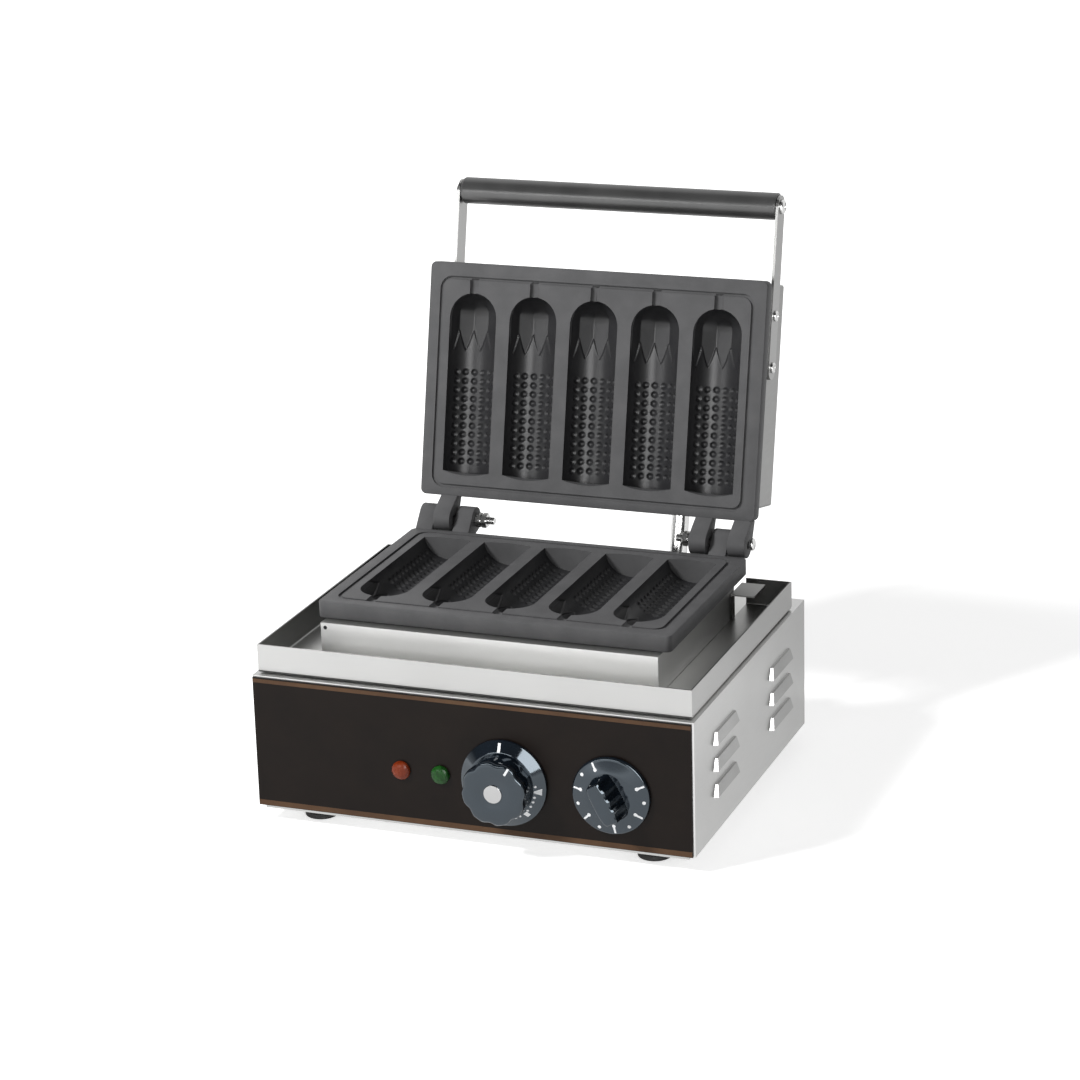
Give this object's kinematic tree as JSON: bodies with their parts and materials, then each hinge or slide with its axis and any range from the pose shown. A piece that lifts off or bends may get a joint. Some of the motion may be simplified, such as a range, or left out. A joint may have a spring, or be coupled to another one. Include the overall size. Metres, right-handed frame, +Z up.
{
  "type": "corn waffle maker",
  "caption": "Countertop electric waffle iron with corn-cob cavities in two hinged castings, a bar handle, a drip tray and a steel base with thermostat and timer knobs.",
  "frame": {"origin": "on the surface that the feet stand on, under the middle of the object's bounding box with the lid open as in the picture", "axes": "+Z up, -Y towards the control panel, +X to the right seen from the front"},
  "size_m": [0.3464, 0.3804, 0.4176],
  "materials": {
    "housing_steel": "satin stainless sheet",
    "front_steel": "satin stainless sheet",
    "bright_steel": "bright plated",
    "coated_casting": "dark grey non-stick coating",
    "element_steel": "heat-darkened",
    "panel_film": "dark brown printed film with thin tan lines",
    "grip_black": "polished black",
    "knob_black": "glossy blue-black with white ticks",
    "case_black": "moulded",
    "foot_rubber": "matte",
    "red_lens": "translucent orange-red",
    "green_lens": "translucent green",
    "ceramic": "glazed ceramic",
    "fibre": "ceramic fibre mat",
    "bulb_copper": "copper tube"
  },
  "bodies": {
    "base": {"housing_shell": "housing_steel", "bottom_plate": "housing_steel", "frame_tab_left": "housing_steel", "frame_tab_right": "housing_steel", "lower_clamp_plate": "housing_steel", "front_plate": "front_steel", "drip_tray": "front_steel", "plate_frame": "front_steel", "foot_screw_front_left": "bright_steel", "foot_screw_front_right": "bright_steel", "foot_screw_rear_left": "bright_steel", "foot_screw_rear_right": "bright_steel", "hinge_pin_left": "bright_steel", "hinge_pin_right": "bright_steel", "hinge_nut_left_outer": "bright_steel", "hinge_nut_left_inner": "bright_steel", "hinge_nut_right_outer": "bright_steel", "hinge_nut_right_inner": "bright_steel", "conduit_collar_deck": "bright_steel", "wiring_conduit": "bright_steel", "lower_casting": "coated_casting", "lower_element": "element_steel", "panel_overlay": "panel_film", "red_lamp_body": "case_black", "green_lamp_body": "case_black", "thermostat_body": "case_black", "timer_body": "case_black", "mains_inlet_bush": "case_black", "foot_front_left": "foot_rubber", "foot_front_right": "foot_rubber", "foot_rear_left": "foot_rubber", "foot_rear_right": "foot_rubber", "red_lamp_lens": "red_lens", "green_lamp_lens": "green_lens", "terminal_block": "ceramic", "lower_insulation": "fibre", "thermostat_bulb": "bulb_copper"},
    "lid": {"upper_casting": "coated_casting", "upper_element": "element_steel", "upper_clamp_plate": "housing_steel", "upper_insulation": "fibre", "lid_cover": "housing_steel", "handle_arm_left": "housing_steel", "handle_arm_right": "housing_steel", "handle_grip": "grip_black", "grip_screw_left": "bright_steel", "grip_screw_right": "bright_steel", "arm_screw_left_front": "bright_steel", "arm_screw_left_rear": "bright_steel", "arm_screw_right_front": "bright_steel", "arm_screw_right_rear": "bright_steel", "conduit_collar_lid": "bright_steel"},
    "thermostat_knob": {"thermostat_dial": "knob_black", "thermostat_cap": "knob_black", "thermostat_shaft": "bright_steel"},
    "timer_knob": {"timer_dial": "knob_black", "timer_grip": "knob_black", "timer_shaft": "bright_steel"}
  },
  "joints": [
    {"name": "lid_hinge", "type": "hinge", "parent": "base", "child": "lid", "pos_m": [0, 0.08755, 0.1642], "axis": [1, 0, 0], "range_deg": [0, 102.7], "deforming": ["wiring_conduit"]},
    {"name": "thermostat_turn", "type": "hinge", "parent": "base", "child": "thermostat_knob", "pos_m": [0.027, -0.16285, 0.0543], "axis": [0, 1, 0], "range_deg": [0, 270]},
    {"name": "timer_turn", "type": "hinge", "parent": "base", "child": "timer_knob", "pos_m": [0.1085, -0.16285, 0.0543], "axis": [0, 1, 0], "range_deg": [0, 300]}
  ]
}
